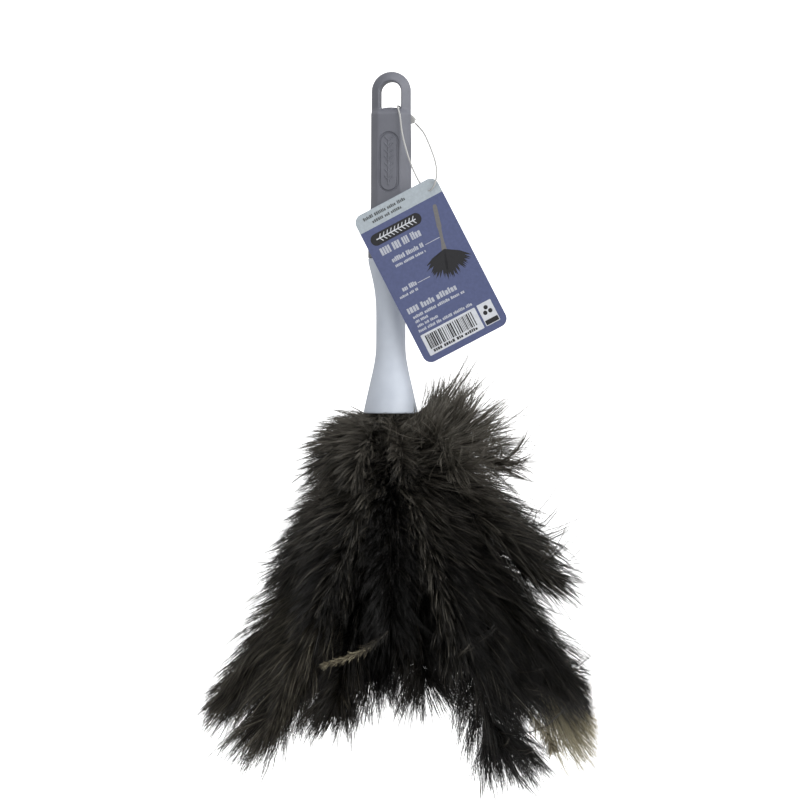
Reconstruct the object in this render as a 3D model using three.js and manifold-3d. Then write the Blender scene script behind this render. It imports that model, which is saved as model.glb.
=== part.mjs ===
// Feather duster: a two-tone moulded handle with a hanging loop, four tiers of ostrich plumes wired round
// a wooden rod in its mouth, and a card swing tag on a plastic loop.
// Millimetres. +Z runs up the handle, and the front of the grip faces -Y. The origin is the top of the
// hanging hole, where a hook bears, so almost everything lies below Z = 0.
import * as THREE from "three";
import { mergeVertices } from "three/addons/utils/BufferGeometryUtils.js";
import Module from "manifold-3d";

const wasm = await Module();
wasm.setup();

// ---- driving dimensions ---------------------------------------------------------------------------------
const GAP = 0.3; // clearance between touching pieces

const GRIP_HALF_WIDTH = 10.75;
const GRIP_TOP = 5.4; // top of the loop, above the hook's bearing point
const SPLIT_Z = -96.6; // where the grip meets the sleeve
const SHOULDER_RADIUS = 12.5; // both pieces are round there
const LOOP_HALF_DEPTH = 4.5; // flat front and back of the hanging loop
const HOLE_HALF_WIDTH = 5.9;
const HOLE_BOTTOM = -14.8;
const PAD_DEPTH = 8.7; // front face of the grip
const BACK_DEPTH = 7.4; // back face of the grip
const OVAL = { width: 11.1, height: 33, z: -44.5, groove: 1.0, depth: 0.6 };

const MOUTH_Z = -181; // open end of the sleeve
const MOUTH_RADIUS = 14.9;
const WAIST_RADIUS = 8.15;
const SLEEVE_WALL = 1.5;
const SPIGOT = { radius: 9.4, length: 9 };
const ROD = { radius: 3, top: -72, bottom: -214 };

const QUILL_RADIUS = 0.75;
const QUILL_TOP = -168; // how far the quills reach into the sleeve
const WIRE_RADIUS = 0.35;
const WIRE_TURNS = 3;
const WIRE_PITCH = 0.95;

const TAG = { width: 50.6, height: 89.6, corner: 4.8, thickness: 0.4, tilt: 27.4, y: -14.5 };
const TAG_HOLE = { radius: 1.5, fromRight: 6.2, fromTop: 5.8, x: 23.2, z: -60.6 };
const STRING_DIAMETER = 0.9;
const LOCK = { width: 4.2, depth: 2.8, height: 4.4, x: 9.9, y: 7.3, z: -19.9, tilt: 42 };

// Where the turned grip's front, at -Y, is seen from: the whole tuft is laid out round this direction.
const FACING = 9;

// ---- materials ------------------------------------------------------------------------------------------
const material = (color, roughness, metalness = 0) =>
  new THREE.MeshStandardMaterial({ color, roughness, metalness });
const GRIP_GREY = material(0x74757d, 0.55);
const SLEEVE_BLUE = material(0xb9bfcb, 0.45);
const WOOD = material(0xc9a06a, 0.7);
const STEEL = material(0x9a9da1, 0.35, 1);
const GLUE = material(0xd9cfae, 0.5);
const FEATHER = material(0x1d1a17, 0.8);
const CARD = material(0x666d94, 0.45);
const NYLON = material(0xd6d6d2, 0.35);

// ---- helpers --------------------------------------------------------------------------------------------
const group = new THREE.Group();

function add(name, geometry, look) {
  const mesh = new THREE.Mesh(geometry, look);
  mesh.name = name;
  group.add(mesh);
  return mesh;
}

function solid(geometry) {
  const bare = geometry.clone();
  bare.deleteAttribute("normal");
  bare.deleteAttribute("uv");
  const merged = mergeVertices(bare, 1e-3);
  return new wasm.Manifold(
    new wasm.Mesh({
      numProp: 3,
      vertProperties: merged.attributes.position.array,
      triVerts: new Uint32Array(merged.index.array),
    }),
  );
}

function geometryOf(manifold) {
  const mesh = manifold.getMesh();
  const geometry = new THREE.BufferGeometry();
  geometry.setAttribute("position", new THREE.BufferAttribute(mesh.vertProperties, 3));
  geometry.setIndex(new THREE.BufferAttribute(mesh.triVerts, 1));
  geometry.computeVertexNormals();
  return geometry;
}

const smooth = (x, from, to) => THREE.MathUtils.smoothstep((x - from) / (to - from), 0, 1);
const mix = THREE.MathUtils.lerp;

// A unit cylinder whose every point is moved by place(t, across, out): t runs 0 to 1 along it, and across
// and out are the point's place on the unit circle.
function moulded(sides, steps, place) {
  const geometry = new THREE.CylinderGeometry(1, 1, 1, sides, steps);
  const position = geometry.attributes.position;
  for (let i = 0; i < position.count; i++) {
    const p = place(0.5 - position.getY(i), position.getX(i), position.getZ(i));
    position.setXYZ(i, p.x, p.y, p.z);
  }
  return geometry;
}

// An outline drawn in X and Z, extruded along Y from y0 to y1.
function slab(shape, y0, y1, curveSegments = 16) {
  const options = { depth: y1 - y0, bevelEnabled: false, curveSegments };
  return new THREE.ExtrudeGeometry(shape, options).rotateX(Math.PI / 2).translate(0, y1, 0);
}

// A stadium, upright, with its centre at (0, z).
function stadium(width, height, z, path = new THREE.Shape()) {
  const r = width / 2;
  const straight = height / 2 - r;
  path.absarc(0, z + straight, r, 0, Math.PI, false);
  path.absarc(0, z - straight, r, Math.PI, 2 * Math.PI, false);
  path.closePath();
  return path;
}

// A tube along a curve, closed at both ends.
function tube(curve, radius, sides, steps) {
  const section = new THREE.Shape().absarc(0, 0, radius, 0, 2 * Math.PI, false);
  const options = { steps, extrudePath: curve, curveSegments: sides / 2 };
  return new THREE.ExtrudeGeometry(section, options);
}

// ---- grip -----------------------------------------------------------------------------------------------
// Half width of the grip's front outline: a half-round top, straight sides, and a shoulder.
function gripHalfWidth(z) {
  const centre = GRIP_TOP - GRIP_HALF_WIDTH;
  if (z > centre) return Math.sqrt(Math.max(0, GRIP_HALF_WIDTH ** 2 - (z - centre) ** 2));
  return mix(GRIP_HALF_WIDTH, SHOULDER_RADIUS, smooth(z, -68, SPLIT_Z + 3));
}

function gripSection(z) {
  const toShoulder = smooth(z, -62, SPLIT_Z + 2);
  const toPad = smooth(z, HOLE_BOTTOM - 0.5, HOLE_BOTTOM - 8);
  const toBack = smooth(z, HOLE_BOTTOM + 0.5, HOLE_BOTTOM - 22);
  const dome = Math.max(0, (z + HOLE_HALF_WIDTH) / (GRIP_TOP + HOLE_HALF_WIDTH + 0.5));
  const edge = Math.sqrt(1 - dome ** 6);
  return {
    width: gripHalfWidth(z),
    front: mix(mix(LOOP_HALF_DEPTH + 0.7, PAD_DEPTH + 0.3, toPad), SHOULDER_RADIUS, toShoulder) * edge,
    back: mix(mix(LOOP_HALF_DEPTH + 0.7, BACK_DEPTH + 0.3, toBack), SHOULDER_RADIUS, toShoulder) * edge,
    frontFlat: mix(mix(LOOP_HALF_DEPTH, PAD_DEPTH, toPad), SHOULDER_RADIUS, toShoulder),
    backFlat: mix(mix(LOOP_HALF_DEPTH, BACK_DEPTH, toBack), SHOULDER_RADIUS, toShoulder),
    power: mix(3.4, 2, toShoulder),
  };
}

function gripBody() {
  const domeShare = 0.22;
  const centre = GRIP_TOP - GRIP_HALF_WIDTH;
  const place = (t, across, out) => {
    const turn = mix(0.22, Math.PI / 2, t / domeShare);
    const z =
      t < domeShare
        ? centre + GRIP_HALF_WIDTH * Math.cos(turn)
        : mix(centre, SPLIT_Z + GAP / 2, (t - domeShare) / (1 - domeShare));
    const s = gripSection(z);
    const squared = (v) => Math.sign(v) * Math.abs(v) ** (2 / s.power);
    const y = squared(-out) * (out > 0 ? s.front : s.back);
    return {
      x: squared(across) * s.width,
      y: THREE.MathUtils.clamp(y, -s.frontFlat, s.backFlat),
      z,
    };
  };
  return solid(moulded(28, 24, place));
}

// The hanging hole: round at the top, with a slightly crowned floor and small corner radii.
function holeShape() {
  const w = HOLE_HALF_WIDTH;
  const corner = 1.4;
  const shape = new THREE.Shape();
  shape.absarc(0, -w, w, 0, Math.PI, false);
  shape.lineTo(-w, HOLE_BOTTOM + corner);
  shape.quadraticCurveTo(-w, HOLE_BOTTOM, -w + corner, HOLE_BOTTOM);
  shape.quadraticCurveTo(0, HOLE_BOTTOM + 0.9, w - corner, HOLE_BOTTOM);
  shape.quadraticCurveTo(w, HOLE_BOTTOM, w, HOLE_BOTTOM + corner);
  shape.closePath();
  return shape;
}

// A cutter that opens the hole's edge outwards by flare, on the side that sign names.
function holeFlare(sign, flare = 0.7) {
  const options = { depth: 6, bevelSize: flare, bevelThickness: flare, bevelSegments: 1, curveSegments: 8 };
  const geometry = new THREE.ExtrudeGeometry(holeShape(), options).rotateX(Math.PI / 2);
  const inner = LOOP_HALF_DEPTH - flare;
  return geometry.translate(0, sign > 0 ? inner + 6 + flare : -inner - flare, 0);
}

// A plain feather mark, a rib with slanting ticks, that stands in the grip's oval panel.
function featherMark() {
  const [length, reach, thick, tickCount] = [25, 2.2, 0.7, 7];
  const from = -PAD_DEPTH + OVAL.depth / 2;
  const bar = (long) => new THREE.BoxGeometry(thick, OVAL.depth + 0.5, long);
  let mark = solid(bar(length).translate(0, from, OVAL.z));
  for (let i = 0; i < tickCount; i++) {
    const z = OVAL.z - length / 2 + ((i + 0.7) * length) / tickCount;
    for (const side of [-1, 1]) {
      const tick = bar(2 * reach).translate(0, 0, reach).rotateY(side * 0.7).translate(0, from, z);
      mark = mark.add(solid(tick));
    }
  }
  return mark;
}

function makeGrip() {
  const groove = stadium(OVAL.width, OVAL.height, OVAL.z);
  const inside = [OVAL.width - 2 * OVAL.groove, OVAL.height - 2 * OVAL.groove];
  groove.holes.push(stadium(...inside, OVAL.z, new THREE.Path()));
  const spigot = new THREE.CylinderGeometry(SPIGOT.radius, SPIGOT.radius, SPIGOT.length + 2, 24);
  const socketLength = ROD.top + GAP - SPLIT_Z + SPIGOT.length + 2;
  const socket = new THREE.CylinderGeometry(ROD.radius + GAP, ROD.radius + GAP, socketLength, 20);
  const body = gripBody()
    .add(solid(spigot.rotateX(Math.PI / 2).translate(0, 0, SPLIT_Z + 1 - SPIGOT.length / 2)))
    .subtract(solid(slab(holeShape(), -20, 20, 8)))
    .subtract(solid(holeFlare(1)))
    .subtract(solid(holeFlare(-1)))
    .subtract(solid(slab(groove, -PAD_DEPTH - 2, -PAD_DEPTH + OVAL.depth, 10)))
    .add(featherMark())
    .subtract(solid(socket.rotateX(Math.PI / 2).translate(0, 0, ROD.top + GAP - socketLength / 2)));
  add("grip", geometryOf(body), GRIP_GREY);
}

// ---- sleeve, rod and glue -------------------------------------------------------------------------------
// Outer radius of the sleeve: round shoulder, long waist, straight flare to the mouth.
const SLEEVE_OUTLINE = new THREE.SplineCurve([
  new THREE.Vector2(SHOULDER_RADIUS, SPLIT_Z - GAP / 2),
  new THREE.Vector2(12.1, -100),
  new THREE.Vector2(10.2, -107.8),
  new THREE.Vector2(8.8, -115.5),
  new THREE.Vector2(WAIST_RADIUS, -124),
  new THREE.Vector2(WAIST_RADIUS - 0.1, -136),
  new THREE.Vector2(WAIST_RADIUS + 0.1, -148),
  new THREE.Vector2(9.5, -156.5),
  new THREE.Vector2(11.6, -166),
  new THREE.Vector2(13.5, -174.5),
  new THREE.Vector2(MOUTH_RADIUS, MOUTH_Z),
]);

function sleeveRadius(z) {
  const points = SLEEVE_OUTLINE.getPoints(120);
  const i = points.findIndex((p) => p.y <= z);
  if (i <= 0) return i === 0 ? points[0].x : MOUTH_RADIUS;
  const [a, b] = [points[i - 1], points[i]];
  return mix(a.x, b.x, (z - a.y) / (b.y - a.y));
}

function makeSleeve() {
  const outer = SLEEVE_OUTLINE.getPoints(16);
  const inner = (z) => new THREE.Vector2(sleeveRadius(z) - SLEEVE_WALL, z);
  const collar = ROD.radius + GAP;
  const profile = [
    ...outer,
    new THREE.Vector2(MOUTH_RADIUS - 1.3, MOUTH_Z),
    inner(MOUTH_Z + 8),
    inner(MOUTH_Z + 16),
    inner(MOUTH_Z + 25),
    inner(-151),
    new THREE.Vector2(collar, -150.5), // lower collar round the rod
    new THREE.Vector2(collar, -146),
    inner(-145.5),
    inner(-124.5),
    new THREE.Vector2(collar, -124), // upper collar round the rod
    new THREE.Vector2(collar, -119),
    inner(-118.5),
    inner(-112),
    new THREE.Vector2(SPIGOT.radius + GAP, -107),
    new THREE.Vector2(SPIGOT.radius + GAP, SPLIT_Z - GAP / 2),
    outer[0].clone(),
  ];
  add("sleeve", new THREE.LatheGeometry(profile.reverse(), 24).rotateX(Math.PI / 2), SLEEVE_BLUE);
}

function makeRod() {
  const chamfer = 0.8;
  const { radius, top, bottom } = ROD;
  const profile = [
    new THREE.Vector2(0, bottom),
    new THREE.Vector2(radius - chamfer, bottom),
    new THREE.Vector2(radius, bottom + chamfer),
    new THREE.Vector2(radius, top - chamfer),
    new THREE.Vector2(radius - chamfer, top),
    new THREE.Vector2(0, top),
  ];
  add("core_rod", new THREE.LatheGeometry(profile, 16).rotateX(Math.PI / 2), WOOD);
}

function makeGlue() {
  const [low, high] = [QUILL_TOP + GAP, QUILL_TOP + 11];
  const wall = (z) => sleeveRadius(z) - SLEEVE_WALL - GAP;
  const profile = [
    new THREE.Vector2(ROD.radius + GAP, low),
    new THREE.Vector2(wall(low) - 0.3, low),
    new THREE.Vector2(wall(high) - 0.6, high),
    new THREE.Vector2(ROD.radius + GAP, high),
    new THREE.Vector2(ROD.radius + GAP, low),
  ];
  add("glue_plug", new THREE.LatheGeometry(profile, 20).rotateX(Math.PI / 2), GLUE);
}

// ---- binding wires --------------------------------------------------------------------------------------
class Helix extends THREE.Curve {
  constructor(radius, top) {
    super();
    Object.assign(this, { radius, top });
  }
  getPoint(t, target = new THREE.Vector3()) {
    const turn = 2 * Math.PI * WIRE_TURNS * t;
    const z = this.top - WIRE_PITCH * WIRE_TURNS * t;
    return target.set(this.radius * Math.cos(turn), this.radius * Math.sin(turn), z);
  }
}

// One winding outside each ring of quills.
const WIRES = {
  inner: { radius: 5.6, top: -173 },
  middle: { radius: 8.5, top: -173 },
  outer: { radius: 11.3, top: -175 },
};

function makeWires() {
  for (const [name, { radius, top }] of Object.entries(WIRES)) {
    add("binding_wire_" + name, tube(new Helix(radius, top), WIRE_RADIUS, 6, 16 * WIRE_TURNS), STEEL);
  }
}

// ---- plumes ---------------------------------------------------------------------------------------------
// Each tier is a bell of plumes inside the one before. ring is the radius that its quills stand on, start
// the direction of its first plume from FACING, sideways the share of the radius that half a vane may fill,
// and bend how far below the mouth the quill turns outwards. swell and crest place the bell's shoulder, as
// shares of the reach and the drop. Each plume is [reach, drop, lean]: how far its tip stands from the
// axis, how far it hangs below the mouth, and how many degrees it leans round the axis.
const TIERS = {
  top: {
    ring: 9.8, start: 200, sideways: 0.3, bend: 13, swell: 0.86, crest: 0.16,
    plumes: [
      [32, 34, 0], [38, 40, 0], [42, 38, 0], [48, 38, 0], [56, 39, -3],
      [50, 28, 0], [50, 34, 0], [40, 34, 0], [30, 28, 0],
    ],
  },
  upper: {
    ring: 6.85, start: 198, sideways: 0.26, bend: 27, swell: 0.64, crest: 0.5,
    plumes: [
      [57, 98, 0], [62, 118, 0], [58, 128, 0], [67, 148, 0], [86, 104, 0],
      [78, 82, -4], [78, 100, 0], [74, 108, 0], [62, 108, 0], [46, 78, 0],
    ],
  },
  long: {
    ring: 6.85, start: 180, sideways: 0.22, bend: 44, swell: 0.62, crest: 0.58,
    plumes: [
      [95, 174, 0], [83, 190, -2], [62, 177, -12], [56, 164, 4], [83, 200, -4],
      [102, 166, -8], [115, 196, -14], [76, 138, 0], [76, 150, 0], [80, 166, 8],
    ],
  },
  core: {
    ring: 4.2, start: 202.5, sideways: 0.3, bend: 62, swell: 0.8, crest: 0.66,
    plumes: [
      [62, 172, 2], [32, 154, 0], [28, 142, 0], [64, 165, 6],
      [60, 150, 0], [28, 130, 0], [30, 145, 0], [50, 158, 0],
    ],
  },
};
const VANE = { steps: 10, sides: 6, thickness: 2.2, widest: 17, bare: 0.16 };

// The line of a plume's shaft: straight down in the sleeve, then out over an arch and down to the tip.
function shaftCurve(tier, index) {
  const [reach, drop, lean] = tier.plumes[index];
  const start = tier.start + FACING + (index * 360) / tier.plumes.length;
  const arch = new THREE.CubicBezierCurve(
    new THREE.Vector2(tier.ring, MOUTH_Z),
    new THREE.Vector2(tier.ring + 1, MOUTH_Z - tier.bend),
    new THREE.Vector2(tier.swell * reach, MOUTH_Z - tier.crest * drop),
    new THREE.Vector2(reach, MOUTH_Z - drop),
  );
  const at = (r, z, share) => {
    const turn = THREE.MathUtils.degToRad(start + lean * share);
    return new THREE.Vector3(r * Math.cos(turn), r * Math.sin(turn), z);
  };
  const points = [at(tier.ring, QUILL_TOP, 0), at(tier.ring, (QUILL_TOP + MOUTH_Z) / 2, 0)];
  for (const p of arch.getPoints(9)) {
    points.push(at(p.x, p.y, THREE.MathUtils.smoothstep(p.x / reach, 0, 0.8)));
  }
  return new THREE.CatmullRomCurve3(points, false, "centripetal");
}

// A plume: a round quill that opens into a thin vane with a rounded tip.
function plumeGeometry(tier, index) {
  const shaft = shaftCurve(tier, index);
  const place = (t, across, out) => {
    const centre = shaft.getPointAt(t);
    const along = shaft.getTangentAt(t);
    const sidewise = new THREE.Vector3(-centre.y, centre.x, 0).normalize();
    sidewise.addScaledVector(along, -sidewise.dot(along)).normalize();
    const outward = new THREE.Vector3().crossVectors(along, sidewise);
    const open = smooth(t, VANE.bare, 0.5);
    const tip = Math.sqrt(1 - smooth(t, 0.55, 1.02) ** 1.5);
    const room = tier.sideways * Math.hypot(centre.x, centre.y);
    const halfWidth = mix(QUILL_RADIUS, Math.min(room, VANE.widest), open) * tip;
    const halfThick = mix(QUILL_RADIUS, VANE.thickness / 2, open) * mix(0.45, 1, tip);
    return centre.addScaledVector(sidewise, across * halfWidth).addScaledVector(outward, out * halfThick);
  };
  return moulded(VANE.sides, VANE.steps, place);
}

function makePlumes() {
  for (const [name, tier] of Object.entries(TIERS)) {
    tier.plumes.forEach((_, i) => add(`plume_${name}_${i + 1}`, plumeGeometry(tier, i), FEATHER));
  }
}

// ---- swing tag ------------------------------------------------------------------------------------------
function makeTag() {
  const { width, height, corner } = TAG;
  const right = TAG_HOLE.fromRight;
  const top = TAG_HOLE.fromTop;
  const card = new THREE.Shape(); // drawn with the tag's hole at the origin
  card.absarc(right - corner, top - corner, corner, 0, Math.PI / 2, false);
  card.absarc(right - width + corner, top - corner, corner, Math.PI / 2, Math.PI, false);
  card.absarc(right - width + corner, top - height + corner, corner, Math.PI, 1.5 * Math.PI, false);
  card.absarc(right - corner, top - height + corner, corner, 1.5 * Math.PI, 2 * Math.PI, false);
  card.closePath();
  card.holes.push(new THREE.Path().absarc(0, 0, TAG_HOLE.radius, 0, 2 * Math.PI, true));
  const half = TAG.thickness / 2;
  const mesh = add("tag_card", slab(card, -half, half, 6), CARD);
  mesh.rotation.y = THREE.MathUtils.degToRad(-TAG.tilt);
  mesh.position.set(TAG_HOLE.x, TAG.y, TAG_HOLE.z);
}

// The plastic loop, from the lock head behind the grip, out through the hanging hole, down over the front
// of the grip, through the tag's hole from behind, and back up beside the grip to the lock head.
const STRING_ROUTE = [
  [8.1, 7.6, -17.9],
  [6.2, 7.3, -15.6],
  [4.7, 6.2, -14.2],
  [4.3, 3.6, -13.6],
  [4.3, 0, -13.5],
  [4.3, -3.6, -13.6],
  [4.6, -6.6, -14.2],
  [5.4, -9, -16.2],
  [6.4, -10.1, -19.6],
  [7.3, -10.3, -27],
  [9.8, -10.8, -37.5],
  [12.2, -11.4, -44.6],
  [15.2, -12.2, -51.6],
  [18.8, -12.8, -57.6],
  [21.1, -13.3, -59.9],
  [23.2, -14.5, -60.8],
  [25.1, -15.8, -59.7],
  [26.8, -16.2, -56.3],
  [27.5, -15.7, -51.4],
  [26.7, -14, -46.2],
  [24.6, -10.6, -40.6],
  [21.4, -5.6, -34],
  [18.1, -0.4, -28.3],
  [14.9, 3.8, -24.7],
  [12.5, 6.3, -22.4],
];

function makeString() {
  const points = STRING_ROUTE.map((p) => new THREE.Vector3(...p));
  const route = new THREE.CatmullRomCurve3(points, false, "centripetal");
  const steps = Math.round(route.getLength() / (2.8 * STRING_DIAMETER));
  add("tag_string", tube(route, STRING_DIAMETER / 2, 8, steps), NYLON);
}

// The lock head: a small block with chamfered ends, in line with the loop.
function makeLock() {
  const { width, depth, height } = LOCK;
  const chamfer = 0.6;
  const outline = new THREE.Shape([
    new THREE.Vector2(-width / 2 + chamfer, -height / 2),
    new THREE.Vector2(width / 2 - chamfer, -height / 2),
    new THREE.Vector2(width / 2, -height / 2 + chamfer),
    new THREE.Vector2(width / 2, height / 2 - chamfer),
    new THREE.Vector2(width / 2 - chamfer, height / 2),
    new THREE.Vector2(-width / 2 + chamfer, height / 2),
    new THREE.Vector2(-width / 2, height / 2 - chamfer),
    new THREE.Vector2(-width / 2, -height / 2 + chamfer),
  ]);
  const mesh = add("string_lock", slab(outline, -depth / 2, depth / 2), NYLON);
  mesh.rotation.y = THREE.MathUtils.degToRad(-LOCK.tilt);
  mesh.position.set(LOCK.x, LOCK.y, LOCK.z);
}

makeGrip();
makeSleeve();
makeRod();
makeGlue();
makeWires();
makePlumes();
makeTag();
makeString();
makeLock();

export default group;
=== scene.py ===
"""Feather duster: the looks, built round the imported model. Sizes are in millimetres until a mesh is made."""

from math import atan2, cos, degrees, hypot, pi, radians, sin

import bmesh
import bpy
import numpy as np
from mathutils import Matrix, Vector


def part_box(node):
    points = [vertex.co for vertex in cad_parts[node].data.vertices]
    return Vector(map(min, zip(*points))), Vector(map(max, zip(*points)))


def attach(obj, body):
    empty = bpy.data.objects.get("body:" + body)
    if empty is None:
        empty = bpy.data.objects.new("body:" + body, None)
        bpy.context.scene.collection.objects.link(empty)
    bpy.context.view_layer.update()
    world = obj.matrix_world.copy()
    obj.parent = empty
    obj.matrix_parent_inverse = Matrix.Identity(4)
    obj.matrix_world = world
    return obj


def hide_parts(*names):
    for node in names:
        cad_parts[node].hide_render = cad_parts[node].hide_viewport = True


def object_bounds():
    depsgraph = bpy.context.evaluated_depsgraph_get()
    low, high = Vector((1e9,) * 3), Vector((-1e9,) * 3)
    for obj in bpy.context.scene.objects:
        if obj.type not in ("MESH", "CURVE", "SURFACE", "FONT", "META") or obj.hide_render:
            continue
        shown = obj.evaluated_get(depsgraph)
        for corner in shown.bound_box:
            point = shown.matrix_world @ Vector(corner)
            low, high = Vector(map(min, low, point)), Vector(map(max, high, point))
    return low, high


MM = 0.001
UP = np.array([0.0, 0.0, 1.0])

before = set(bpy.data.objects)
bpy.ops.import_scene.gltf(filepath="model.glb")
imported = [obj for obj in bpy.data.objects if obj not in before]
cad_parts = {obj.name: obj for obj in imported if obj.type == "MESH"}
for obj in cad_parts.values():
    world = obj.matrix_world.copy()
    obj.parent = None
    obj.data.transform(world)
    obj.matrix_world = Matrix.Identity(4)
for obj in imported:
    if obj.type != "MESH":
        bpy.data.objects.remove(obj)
CAD_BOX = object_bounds()

# ---- driving dimensions, as in the design
GRIP_HALF_WIDTH = 10.75
GRIP_TOP = 5.4
SPLIT_Z = -96.6  # where the grip meets the sleeve
SHOULDER_RADIUS = 12.5
LOOP_HALF_DEPTH = 4.5
HOLE_HALF_WIDTH = 5.9
HOLE_BOTTOM = -14.8
PAD_DEPTH = 8.7
BACK_DEPTH = 7.4
PAD_HALF_WIDTH, PAD_FALL = 6.5, 5.6  # half the flat's width, and how far its bevel drops to the side
BACK_HALF_WIDTH, BACK_FALL = 6.2, 4.4
EDGE_SHARPNESS = 26
SPIGOT_RADIUS, SPIGOT_LENGTH = 9.4, 9
OVAL_WIDTH, OVAL_HEIGHT, OVAL_Z = 11.1, 33.0, -44.5
MOUTH_Z = -181.0
MOUTH_RADIUS = 14.9
SLEEVE_WALL = 1.5
SOCKET_RADIUS, SOCKET_Z = 9.7, -107  # the sleeve's socket for the spigot, and its floor
TAG_WIDTH, TAG_HEIGHT, TAG_CORNER, TAG_TILT = 50.6, 89.6, 4.8, 27.4
TAG_HOLE_RADIUS, TAG_HOLE_FROM_RIGHT, TAG_HOLE_FROM_TOP = 1.5, 6.2, 5.8
STRING_DIAMETER = 0.9
VIEW_AZIMUTH, VIEW_ELEVATION = 9.0, 0.0


# ---- helpers
def mix(a, b, t):
    return a + (b - a) * t


def smooth(x, start, end):
    t = np.clip((x - start) / (end - start), 0, 1)
    return t * t * (3 - 2 * t)


def unit(v):
    return v / np.maximum(np.linalg.norm(v, axis=-1, keepdims=True), 1e-9)


def new_object(name, data):
    piece = bpy.data.objects.new(name, data)
    bpy.context.scene.collection.objects.link(piece)
    return piece


def full_turn(steps):
    return np.arange(steps) * 2 * pi / steps


def level_ring(radius, angles, z):
    """Points at height z round the origin. radius is one number, or one for each angle."""
    return np.stack([radius * np.cos(angles), radius * np.sin(angles), np.full(len(angles), z)], 1)


def direction(azimuth, elevation):
    """The way from the object to a viewer who has gone round it and up by these degrees."""
    a, e = radians(azimuth), radians(elevation)
    return Vector((sin(a) * cos(e), -cos(a) * cos(e), sin(e)))


def shade(mesh, smooth_below):
    """Smooth shading, with edges sharper than smooth_below degrees left crisp."""
    mesh.shade_smooth()
    mesh.set_sharp_from_angle(angle=radians(smooth_below))


def mesh_object(name, points, faces, materials, smooth_below=40):
    """A mesh from points in millimetres."""
    mesh = bpy.data.meshes.new(name)
    mesh.from_pydata((np.asarray(points) * MM).tolist(), [], [list(f) for f in faces])
    for material in materials:
        mesh.materials.append(material)
    shade(mesh, smooth_below)
    return new_object(name, mesh)


def grid_faces(rows, columns, closed=True, start=0):
    """Quads between the rows of a grid of points. A closed grid joins its last column to its first."""
    faces = []
    for r in range(rows - 1):
        for c in range(columns if closed else columns - 1):
            d = (c + 1) % columns
            a, b = start + r * columns, start + (r + 1) * columns
            faces.append((a + c, a + d, b + d, b + c))
    return faces


def end_faces(rows, columns):
    """The two faces that close a tube of rows at its ends."""
    return [tuple(range(columns))[::-1], tuple((rows - 1) * columns + c for c in range(columns))]


def weld(piece, distance=0.002):
    """Joins points that share a place, and turns every face outwards."""
    mesh = bmesh.new()
    mesh.from_mesh(piece.data)
    bmesh.ops.remove_doubles(mesh, verts=mesh.verts, dist=distance * MM)
    bmesh.ops.recalc_face_normals(mesh, faces=mesh.faces)
    mesh.to_mesh(piece.data)
    mesh.free()


def carve(piece, tool):
    """Cuts tool out of piece, and removes the tool."""
    weld(tool)
    modifier = piece.modifiers.new("carve", "BOOLEAN")
    modifier.object = tool
    modifier.solver = "EXACT"
    bpy.context.view_layer.update()
    done = piece.evaluated_get(bpy.context.evaluated_depsgraph_get())
    mesh = bpy.data.meshes.new_from_object(done)
    piece.modifiers.clear()
    piece.data = mesh
    bpy.data.objects.remove(tool)


def tube(path, radius, sides=12, closed=False):
    """Points and faces of a round tube along a path, closed on itself or with a point at each end."""
    path = np.asarray(path, float)
    count = len(path)
    ahead = np.roll(path, -1, 0) - np.roll(path, 1, 0)
    if not closed:
        ahead[0], ahead[-1] = path[1] - path[0], path[-1] - path[-2]
    ahead = unit(ahead)
    side = unit(np.cross(ahead, np.array([0.03, 1.0, 0.02])))
    over = np.cross(side, ahead)
    turn = full_turn(sides)
    ring = np.cos(turn)[None, :, None] * side[:, None] + np.sin(turn)[None, :, None] * over[:, None]
    radius = np.broadcast_to(radius, (count,))
    points = (path[:, None] + ring * radius[:, None, None]).reshape(-1, 3)
    faces = grid_faces(count, sides)
    if closed:
        last = (count - 1) * sides
        faces += [(last + c, last + (c + 1) % sides, (c + 1) % sides, c) for c in range(sides)]
        return points, faces
    return points, faces + end_faces(count, sides)


def merged(parts):
    """Several (points, faces) as one."""
    points, faces = [], []
    for part_points, part_faces in parts:
        start = sum(len(p) for p in points)
        points.append(np.asarray(part_points, float))
        faces += [tuple(i + start for i in f) for f in part_faces]
    return np.concatenate(points), faces


# ---- materials
def new_material(name, **sockets):
    """A Principled material with its sockets set by name."""
    material = bpy.data.materials.new(name)
    material.use_nodes = True
    shader = material.node_tree.nodes["Principled BSDF"]
    for socket, value in sockets.items():
        shader.inputs[socket.replace("_", " ")].default_value = value
    return material


def node(material, kind, inputs=None, **settings):
    """Adds a shader node. inputs maps a socket's name or number to a value, or to another node's output."""
    made = material.node_tree.nodes.new("ShaderNode" + kind)
    for setting, value in settings.items():
        setattr(made, setting, value)
    for socket, value in (inputs or {}).items():
        if isinstance(value, bpy.types.NodeSocket):
            material.node_tree.links.new(value, made.inputs[socket])
        else:
            made.inputs[socket].default_value = value
    return made


def plug(material, socket, output):
    material.node_tree.links.new(output, material.node_tree.nodes["Principled BSDF"].inputs[socket])


def noise(material, scale, detail=3.0, stretch=(1, 1, 1)):
    """Noise on the object's own coordinates, in cycles per metre."""
    place = node(material, "TexCoord")
    laid = node(material, "Mapping", {"Vector": place.outputs["Object"], "Scale": stretch})
    made = node(material, "TexNoise", {"Vector": laid.outputs[0], "Scale": scale, "Detail": detail})
    return made.outputs["Fac"]


def ramp(material, value, stops):
    made = node(material, "ValToRGB", {"Fac": value})
    line = made.color_ramp
    while len(line.elements) < len(stops):
        line.elements.new(0.5)
    for element, (position, colour) in zip(line.elements, stops):
        element.position = position
        element.color = (*colour, 1)
    return made.outputs["Color"]


def tint(material, value, *stops):
    """Colours the whole material by a value, from one stop to the next."""
    plug(material, "Base Color", ramp(material, value, stops))


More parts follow.
